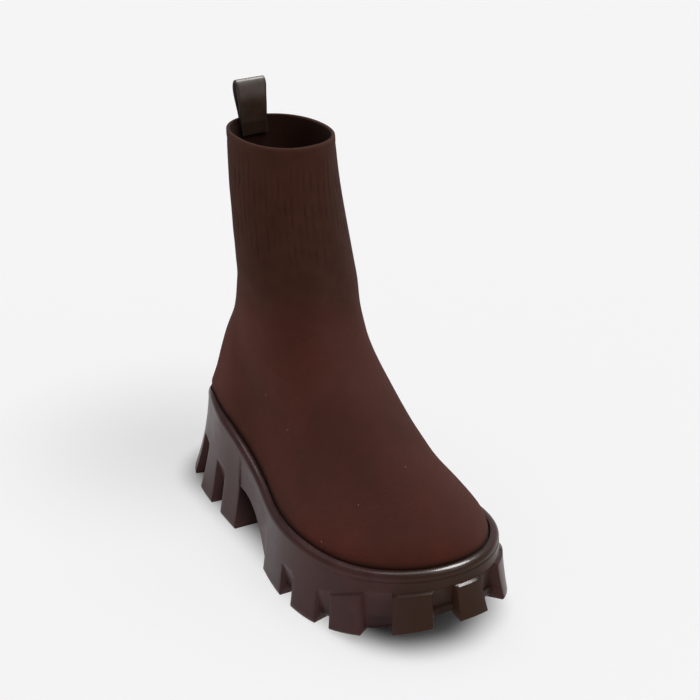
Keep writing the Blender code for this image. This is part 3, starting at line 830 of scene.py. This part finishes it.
def build_sole(mat):
    med, lat = lug_stations()
    n = len(med)
    stations = med + lat[-2:0:-1]
    s = np.array([q[0] for q in stations])
    kind = np.array([q[1] for q in stations])
    p, nrm = seam_point(s)
    rch = reach(s, p[:, 0])
    rim = rim_width(p[:, 0])
    f_out = (p + nrm * rch[:, None])[:, 0]
    rch = rch - WAIST_TUCK * (kind == 2)
    zs = seam_height(p[:, 0])
    zt = zs - 4.0
    zg = tread_height(f_out)
    toe = smooth((p[:, 0] - 195.0) / 35.0)
    notch_top = 0.50 - 0.26 * toe
    bottom = np.where(kind == 1, zg, np.where(kind == 0, zg + GROOVE - 2.0 * toe, zg))
    bottom = np.where(kind == 2, np.maximum(arch_height(f_out), 0.0), bottom)

    def flare(z):
        t = np.clip((zt - z) / (zt - zg), 0, 1)
        return rim + (rch - rim) * (0.35 * t + 0.65 * t * t)

    rows = []

    def add(off, z):
        off = np.broadcast_to(off, s.shape)
        z = np.broadcast_to(z, s.shape)
        rows.append(np.stack([p[:, 0] + nrm[:, 0] * off, p[:, 1] + nrm[:, 1] * off, z], 1))

    floor = zs - MARGIN - CURVED_FIT
    add(CURVED_FIT, floor)
    add(CURVED_FIT, zs - 3.0)
    add(CURVED_FIT, zs - 1.2)
    # the rim: rounded crest, slightly domed ledge, rounded shoulder, drawn line under it at the toe
    lip = rim - CURVED_FIT
    for share, dz in ((0.04, -0.35), (0.12, 0.15), (0.26, 0.26), (0.50, 0.02), (0.70, -0.42),
                      (0.87, -1.15), (0.96, -2.1), (1.0, -3.1)):
        add(CURVED_FIT + share * lip, zs + dz)
    add(rim - 0.30 * toe - 0.05, zt - 0.05)
    add(rim - 0.22 * toe + 0.02, zt - 0.75)
    is_notch = kind == 0
    for part in (0.12, 0.3, 0.55, 0.8, 0.93):
        z = zt + (bottom - zt) * notch_top * part
        add(flare(z), z)
    for frac in (0.0, 0.03, 0.09, 0.20, 0.34, 0.50, 0.64, 0.70, 0.735, 0.86, 0.95):
        t = notch_top + (1 - notch_top) * frac
        z = zt + (bottom - zt) * t
        off = flare(z)
        if frac > 0:
            # lugs stand out from the wall: a crisp ledge round the toe, none on the sides
            off = off + 1.7 * toe * (kind == 1)
            # the wall runs on down between them, and draws in towards the ground
            full = flare(bottom) - (rim - 1.0 - 0.4 * toe)
            deep = full * frac ** (1.0 - 0.35 * toe)
            # a low sill across the recesses round the toe
            deep = deep - 1.7 * toe * (frac > 0.71) * (np.abs(p[:, 1]) < 26.0)
            off = np.where(is_notch, off - deep, off)
        add(off, z)
    base = flare(bottom) + 1.1 * toe * (kind == 1)
    base = np.where(is_notch, rim - 1.2 + 1.2 * toe, base)
    add(base - 0.6, bottom)
    add(-LUG_DEPTH, bottom)
    chan = np.where(kind == 2, bottom, zg + GROOVE - 2.0 * toe)
    add(-LUG_DEPTH - 1.2, chan)
    add(-LUG_DEPTH - 7.0, chan)
    ends = (p[:, 0] < 8.0) | (p[:, 0] > 232.0)
    inner = np.where((kind == 1) & ~ends, zg, chan)
    add(-LUG_DEPTH - 8.2, inner)

    grid = np.array(rows)
    R, total = grid.shape[:2]
    place = np.array([q[2] for q in stations])
    # painted shade: dark low in the notches, under the sole and up in the arch
    cavity_shade = np.zeros((R, total))
    first_wall = 18                      # rows above this one belong to the rim and the plain wall
    for i in range(first_wall, R):
        depth_share = min((i - first_wall) / 8.0, 1.0)
        low = max(depth_share - 0.5, 0.0) / 0.5
        cavity_shade[i] = np.where(is_notch, low ** 1.5 * (0.25 + 0.45 * np.sin(math.pi * place)), 0.0)
    cavity_shade[-4:] = np.maximum(cavity_shade[-4:], 0.85)
    cavity_shade[-5:] = np.where(kind == 2, 1.0, cavity_shade[-5:])
    faces = []
    for i in range(R - 1):
        for j in range(total):
            k = (j + 1) % total
            faces.append((i * total + j, i * total + k, (i + 1) * total + k, (i + 1) * total + j))
    for i in (0, R - 1):
        row = [i * total + j for j in range(total)]
        faces.append((row[0], row[1], row[total - 1]))
        for j in range(1, n - 2):
            faces.append((row[j], row[j + 1], row[total - j - 1], row[total - j]))
        faces.append((row[n - 2], row[n - 1], row[n]))
    ob = mesh_object("rubber_sole", world_grid(grid.reshape(-1, 3)), faces, mat,
                     attrs={"cavity_shade": cavity_shade.ravel()})
    bev = ob.modifiers.new("edges", "BEVEL")
    bev.limit_method = "ANGLE"
    bev.angle_limit = math.radians(38)
    bev.width = 0.0008
    bev.segments = 2
    bev.use_clamp_overlap = True
    bev.harden_normals = False
    apply_modifiers(ob)
    # where two bevels meet they leave slivers, which are closed up here
    bm = bmesh.new()
    bm.from_mesh(ob.data)
    bmesh.ops.dissolve_degenerate(bm, edges=bm.edges, dist=0.000002)
    bmesh.ops.triangulate(bm, faces=[q for q in bm.faces if len(q.verts) > 4])
    bm.to_mesh(ob.data)
    bm.free()
    ob.data.shade_smooth()
    ob.data.set_sharp_from_angle(angle=math.radians(50))
    return ob


def apply_modifiers(ob):
    """Replaces the mesh by the one its modifiers give."""
    dg = bpy.context.evaluated_depsgraph_get()
    me = bpy.data.meshes.new_from_object(ob.evaluated_get(dg))
    old = ob.data
    ob.modifiers.clear()
    ob.data = me
    me.name = old.name + "_final"


# ------------------------------------------------------------------ footbed
def build_footbed(mat):
    m = 120
    s = np.arange(m) / m
    p, nrm = seam_point(s)
    inset = -(WALL + 2 * FIT + 0.5)
    z0 = seam_height((p + nrm * inset)[:, 0]) - MARGIN + 0.1
    rows = []
    #        inset  height
    for more, dz in ((0.0, 0.0), (0.0, 1.4), (0.0, INSOLE_T - 1.2), (-0.35, INSOLE_T - 0.4),
                     (-1.1, INSOLE_T), (-4.0, INSOLE_T - 0.25), (-9.0, INSOLE_T - 0.7),
                     (-14.0, INSOLE_T - 0.9)):
        e = p + nrm * (inset + more)
        rows.append(np.stack([e[:, 0], e[:, 1], z0 + dz], 1))
    grid = np.array(rows)
    R = grid.shape[0]
    faces = []
    for i in range(R - 1):
        for j in range(m):
            k = (j + 1) % m
            faces.append((i * m + j, i * m + k, (i + 1) * m + k, (i + 1) * m + j))
    half = m // 2
    for i in (0, R - 1):
        row = [i * m + j for j in range(m)]
        faces.append((row[0], row[1], row[m - 1]))
        for j in range(1, half - 1):
            faces.append((row[j], row[j + 1], row[m - j - 1], row[m - j]))
        faces.append((row[half - 1], row[half], row[half + 1]))
    return mesh_object("footbed", world_grid(grid.reshape(-1, 3)), faces, mat, sharp=0.9)


# ------------------------------------------------------------------ pull loop
def strap_path():
    """(depth inside the wall, z, how flat) down the front leg, over the fold, down the back leg."""
    z_low = UPPER[-1][4] - STRAP_SEWN
    z_rim = UPPER[-1][4]
    d_back = WALL + 2 * FIT + STRAP_T / 2
    d_front = d_back + STRAP_T + FIT
    fold_r = 2.6
    z_c = STRAP_TOP_Z - STRAP_T / 2 - FOLD_HIGH
    path = []
    for z in np.linspace(z_low, z_rim, 12):
        path.append((d_front, z, 0.0))
    for t in np.linspace(0, 1, 14)[1:]:
        path.append((d_front - 0.2 * t, z_rim + (z_c - z_rim) * t, float(smooth(t))))
    for a in np.linspace(0, 180, 17)[1:-1]:
        a = math.radians(a)
        path.append((d_front - 0.2 - fold_r + fold_r * math.cos(a), z_c + FOLD_HIGH * math.sin(a), 1.0))
    top_d = d_front - 0.2 - 2 * fold_r
    for t in np.linspace(0, 1, 14):
        path.append((top_d + (d_back - top_d) * (0.35 * t + 0.65 * float(smooth(t))),
                     z_c + (z_rim - z_c) * t, 1.0 - float(smooth(t))))
    for z in np.linspace(z_rim, z_low, 12)[1:]:
        path.append((d_back, z, 0.0))
    return path


def strap_free(z):
    """0 inside the collar to 1 at the fold: the strap is drawn in where it is sewn."""
    z_rim = UPPER[-1][4]
    return min(max((z - z_rim) / (STRAP_TOP_Z - z_rim - FOLD_HIGH), 0.0), 1.0)


def strap_point(u, depth, z, flat):
    z_rim = UPPER[-1][4]
    zz = min(z, z_rim)
    mid = collar_inside(STRAP_U, zz, depth)
    f = collar_inside(u, zz, depth)
    return np.array([f + (mid + 0.6 - f) * flat, u, z])


def build_strap(mat):
    path = strap_path()
    half_t = STRAP_T / 2
    # cross-section of the strap, round its edge: (across -1..1, thickness -1..1)
    sect = []
    W = STRAP_W / 2
    r = half_t * 0.85
    nface = 13
    for x in np.linspace(-(W - r), W - r, nface):
        sect.append((x, half_t))
    for a in np.linspace(90, -90, 7)[1:-1]:
        sect.append((W - r + r * math.cos(math.radians(a)), half_t * math.sin(math.radians(a))))
    for x in np.linspace(W - r, -(W - r), nface):
        sect.append((x, -half_t))
    for a in np.linspace(270, 90, 7)[1:-1]:
        sect.append((-(W - r) + r * math.cos(math.radians(a)), half_t * math.sin(math.radians(a))))
    centre = np.array([strap_point(STRAP_U, d, z, fl) for d, z, fl in path])
    tang = np.gradient(centre, axis=0)
    rows, cut = [], []
    for i, (d, z, fl) in enumerate(path):
        # local outward normal of the strap in the f-z plane
        tf, tz = tang[i, 0], tang[i, 2]
        L = math.hypot(tf, tz)
        nf, nz = tz / L, -tf / L
        row = []
        free = strap_free(z)
        for x, th in sect:
            u = STRAP_U + x * (1 + STRAP_FLARE / STRAP_W * free) - 0.25 * STRAP_FLARE * free
            q = strap_point(u, d, z, fl)
            row.append(q + np.array([nf, 0, nz]) * th)
        rows.append(row)
        cut.append([1.0 if abs(x) > W - r * 1.05 else 0.0 for x, th in sect])
    grid = np.array(rows)
    R, m = grid.shape[:2]
    faces = []
    for i in range(R - 1):
        for j in range(m):
            k = (j + 1) % m
            faces.append((i * m + j, i * m + k, (i + 1) * m + k, (i + 1) * m + j))
    faces.append(tuple(range(m)))
    faces.append(tuple((R - 1) * m + j for j in range(m)))
    ob = mesh_object("strap", world_grid(grid.reshape(-1, 3)), faces, mat,
                     attrs={"cut": np.array(cut).ravel()}, sharp=0.9)
    return ob, path


def thread_run(points, width, lift, length, gap, normal_fn=None):
    """Stitches along a polyline (n, 3) in mm: capsule shapes of `length`, spaced by `gap`."""
    points = np.asarray(points, float)
    seg = np.linalg.norm(np.diff(points, axis=0), axis=1)
    d = np.r_[0, np.cumsum(seg)]
    verts, faces = [], []
    pos = gap / 2
    while pos + length < d[-1]:
        ends = [np.array([np.interp(q, d, points[:, k]) for k in range(3)])
                for q in np.linspace(pos, pos + length, 6)]
        dirn = ends[-1] - ends[0]
        dirn /= np.linalg.norm(dirn)
        nr = np.array(normal_fn(ends[2]))
        nr = nr - dirn * (nr @ dirn)
        nr /= np.linalg.norm(nr)
        side = np.cross(dirn, nr)
        base = len(verts)
        for k, c in enumerate(ends):
            t = k / 5.0
            rad = width * (0.35 + 0.65 * math.sin(math.pi * (0.08 + 0.84 * t)) ** 0.5)
            up = lift * math.sin(math.pi * t)
            for a in range(8):
                ang = 2 * math.pi * a / 8
                verts.append(c + nr * (up + rad * math.sin(ang) * 0.8) + side * rad * math.cos(ang))
        for k in range(5):
            for a in range(8):
                b = (a + 1) % 8
                faces.append((base + k * 8 + a, base + k * 8 + b,
                              base + (k + 1) * 8 + b, base + (k + 1) * 8 + a))
        faces.append(tuple(base + a for a in range(8)))
        faces.append(tuple(base + 40 + a for a in range(8)))
        pos += length + gap
    return verts, faces


def build_strap_stitches(mat):
    """Two rows across the strap inside the collar and one along each side of the sewn part."""
    d_back = WALL + 2 * FIT + STRAP_T / 2
    d_front = d_back + STRAP_T + FIT
    face = d_front + STRAP_T / 2 + 0.02
    z_rim = UPPER[-1][4]
    verts, faces = [], []

    def on(u, z):
        return strap_point(u, face, z, 0.0)
    w = STRAP_W / 2 - 1.8
    runs = [[on(STRAP_U + x, z_rim - 2.4) for x in np.linspace(-w, w, 12)],
            [on(STRAP_U + x, z_rim - 7.2) for x in np.linspace(-w, w, 12)],
            [on(STRAP_U - w, z) for z in np.linspace(z_rim - 2.4, z_rim - 7.2, 8)],
            [on(STRAP_U + w, z) for z in np.linspace(z_rim - 2.4, z_rim - 7.2, 8)]]
    for r in runs:
        v, f = thread_run(r, 0.19, 0.10, 1.7, 0.7, lambda q: (1, 0, 0))
        faces += [tuple(i + len(verts) for i in q) for q in f]
        verts += v
    return mesh_object("strap_stitches", world_grid(np.array(verts)), faces, mat)


# ------------------------------------------------------------------ lint
def build_lint(mat, knit, cam_loc, cam_rot, focal_px):
    """A few pale fibres caught on the knit, at the places where the photo shows them."""
    tree = BVHTree.FromObject(knit, bpy.context.evaluated_depsgraph_get())
    verts, faces = [], []
    #      px     py     length  turn
    spots = [(227.0, 430.0, 1.6, 0.4), (345.0, 467.0, 1.3, 1.9), (261.0, 542.0, 1.2, 2.8),
             (298.0, 505.0, 0.9, 1.1), (205.0, 395.0, 0.8, 2.2)]
    for px, py, length, turn in spots:
        ray = cam_rot @ Vector(((px - 350.0) / focal_px, -(py - 350.0) / focal_px, -1.0))
        hit, nor, _, _ = tree.ray_cast(cam_loc, ray.normalized())
        if hit is None:
            continue
        t1 = nor.cross(Vector((0, 0, 1))).normalized()
        t2 = nor.cross(t1)
        base = len(verts)
        for k in range(7):
            t = k / 6.0 - 0.5
            bend = 0.25 * math.sin(3.0 * t + turn) * length
            dirn = t1 * math.cos(turn) + t2 * math.sin(turn)
            sid = nor.cross(dirn)
            c = hit + (dirn * (t * length) + sid * bend) * MM + nor * (0.16 * MM)
            for a in range(5):
                ang = 2 * math.pi * a / 5
                verts.append(c + (sid * math.cos(ang) + nor * math.sin(ang)) * (0.085 * MM))
        for k in range(6):
            for a in range(5):
                b = (a + 1) % 5
                faces.append((base + k * 5 + a, base + k * 5 + b,
                              base + (k + 1) * 5 + b, base + (k + 1) * 5 + a))
        faces.append(tuple(base + a for a in range(5)))
        faces.append(tuple(base + 30 + a for a in range(5)))
    return mesh_object("lint", verts, faces, mat)


# ------------------------------------------------------------------ build
knit_mat = knit_material("boot_knit", (0.0525, 0.0226, 0.0146), (0.0366, 0.0157, 0.0096), 0.07)
rubber_mat = rubber_material()
strap_mat = strap_material()
thread_mat = thread_material("strap_thread", (0.022, 0.012, 0.009), (0.034, 0.018, 0.014))
lint_mat = thread_material("lint_fibre", (0.30, 0.24, 0.20), (0.42, 0.36, 0.32))
footbed_mat = footbed_material()

knit, shell = build_knit(knit_mat)
sole = build_sole(rubber_mat)
footbed = build_footbed(footbed_mat)
strap, path = build_strap(strap_mat)
stitches = build_strap_stitches(thread_mat)

# ------------------------------------------------------------------ camera, at the photo's angle
CAM = Vector((-0.3690, -0.66525, 0.4684))
BACK = Vector((-0.4894, -0.7652, 0.4183)).normalized()
RIGHT = Vector((0.8424, -0.5388, 0.0)).normalized()
ROLL = math.radians(-0.35)
FOCAL_PX = 1499.3
TURN = 2.31
up = BACK.cross(RIGHT)
right = RIGHT * math.cos(ROLL) + up * math.sin(ROLL)
upv = RIGHT * -math.sin(ROLL) + up * math.cos(ROLL)
rot = Matrix((right, upv, BACK)).transposed()
lint = build_lint(lint_mat, knit, CAM, rot, FOCAL_PX)

cam_data = bpy.data.cameras.new("camera")
cam_data.sensor_width = 36.0
cam_data.lens = FOCAL_PX * 36.0 / 700.0
cam_data.dof.use_dof = False
cam_data.clip_end = 50.0
cam = bpy.data.objects.new("camera", cam_data)
bpy.context.scene.collection.objects.link(cam)
turn = Matrix.Rotation(math.radians(TURN), 3, upv)      # the shoe stands in the middle of the picture
cam.matrix_world = Matrix.Translation(CAM) @ (turn @ rot).to_4x4()
bpy.context.scene.camera = cam

# ------------------------------------------------------------------ floor and light
bm = bmesh.new()
bmesh.ops.create_circle(bm, cap_ends=True, segments=96, radius=9.0)
me = bpy.data.meshes.new("floor")
bm.to_mesh(me)
bm.free()
floor = bpy.data.objects.new("floor", me)
floor.location = (0, 0, -0.0002)
me.materials.append(floor_material())
bpy.context.scene.collection.objects.link(floor)

# a pale backdrop that only the camera sees, so that it doesn't light the boot
bm = bmesh.new()
bmesh.ops.create_cone(bm, cap_ends=False, segments=96, radius1=8.9, radius2=8.9, depth=12.0)
me = bpy.data.meshes.new("backdrop")
bm.to_mesh(me)
bm.free()
backdrop = bpy.data.objects.new("backdrop", me)
backdrop.location = (0, 0, 5.99)
N = Nodes("studio_backdrop")
N.link(N.mix(N.noise(N.add("ShaderNodeTexCoord").outputs["Object"], 0.6, 2.0, 0.5),
             (0.890, 0.890, 0.895), (0.900, 0.900, 0.905)), N.bsdf.inputs["Emission Color"])
N.bsdf.inputs["Emission Strength"].default_value = 1.0
N.bsdf.inputs["Base Color"].default_value = (0.0, 0.0, 0.0, 1)
N.bsdf.inputs["Specular IOR Level"].default_value = 0.0
me.materials.append(N.mat)
bpy.context.scene.collection.objects.link(backdrop)
for ray in ("visible_diffuse", "visible_glossy", "visible_transmission", "visible_volume_scatter", "visible_shadow"):
    setattr(backdrop, ray, False)

w = bpy.data.worlds.new("studio")
bpy.context.scene.world = w
w.use_nodes = True
w.node_tree.nodes["Background"].inputs["Color"].default_value = (0.965, 0.965, 0.98, 1)
w.node_tree.nodes["Background"].inputs["Strength"].default_value = 0.40


def sun(name, towards, angle, strength, colour=(1, 1, 1)):
    """A wide soft light so far off that the floor is lit evenly."""
    d = bpy.data.lights.new(name, "SUN")
    d.energy = strength
    d.angle = math.radians(angle)
    d.color = colour
    o = bpy.data.objects.new(name, d)
    o.location = (0, 0, 1.5)
    o.rotation_euler = (-Vector(towards)).to_track_quat("-Z", "Y").to_euler()
    bpy.context.scene.collection.objects.link(o)
    return o


sun("key", (0.14, -0.66, 0.74), 40, 0.62, (1.0, 0.99, 0.98))
sun("overhead", (0.05, 0.05, 1.0), 60, 0.42)
# three cards that only show as gloss
for card in (sun("card_rim", (0.38, 0.07, 0.93), 30, 16.0), sun("card_left", (-0.10, 0.36, 0.93), 22, 0.9),
             sun("card_front", (0.43, -0.62, 0.66), 28, 0.6)):
    card.visible_diffuse = False

bpy.context.scene.view_settings.view_transform = "Standard"
bpy.context.scene.view_settings.look = "None"
bpy.context.scene.view_settings.exposure = 0.0
bpy.context.scene.view_settings.gamma = 1.0

# ------------------------------------------------------------------ attach the new parts and hide the CAD parts they replace
for ob in (knit, sole, footbed, strap, stitches, lint):
    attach(ob, "root")
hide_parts("upper")
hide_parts("sole")
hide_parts("insole")
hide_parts("pull_loop")
